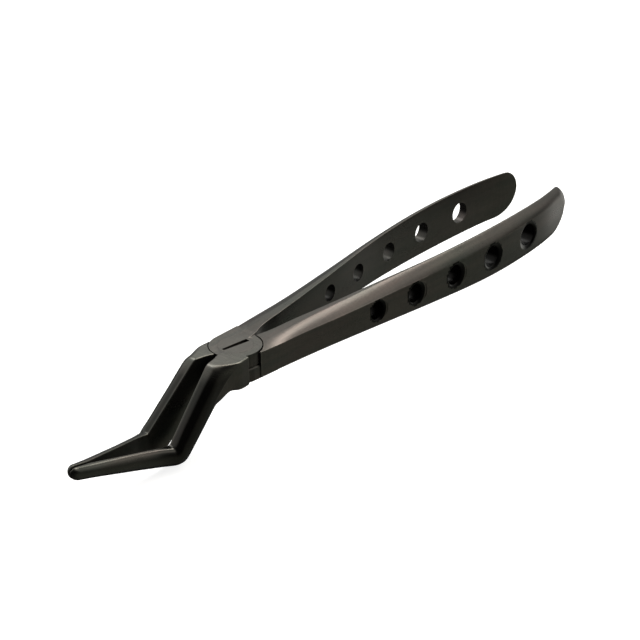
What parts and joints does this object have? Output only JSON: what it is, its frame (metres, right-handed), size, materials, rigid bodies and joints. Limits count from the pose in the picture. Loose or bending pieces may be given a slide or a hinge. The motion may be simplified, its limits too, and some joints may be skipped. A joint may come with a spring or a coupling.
{
  "type": "extraction forceps",
  "caption": "Bayonet dental extraction forceps: two crossed one-piece levers with perforated bowed handles and offset narrow beaks, joined by a round lap joint with a flush slotted screw.",
  "frame": {"origin": "on the pivot axis, in the plane of the lap joint's underside, at the flush end of the pivot screw", "axes": "+X along the handles, away from the beaks; +Z along the pivot axis, towards the screw's slotted head; +Y the way the upper lever's handle opens; modelled closed, with the beak tips meeting"},
  "size_m": [0.1906, 0.0302, 0.029],
  "materials": {
    "upper_lever": "satin black coating over forged stainless steel, fine lengthwise brushing",
    "lower_lever": "satin black coating over forged stainless steel, fine lengthwise brushing",
    "pivot_screw": "satin black coating over stainless steel, ground flush with the joint"
  },
  "bodies": {
    "lower_half": {"lower_lever": "lower_lever", "pivot_screw": "pivot_screw"},
    "upper_half": {"upper_lever": "upper_lever"}
  },
  "joints": [
    {"name": "pivot", "type": "hinge", "parent": "lower_half", "child": "upper_half", "pos_m": [0, 0, 0.004], "axis": [0, 0, 1], "range_deg": [0, 30]}
  ]
}
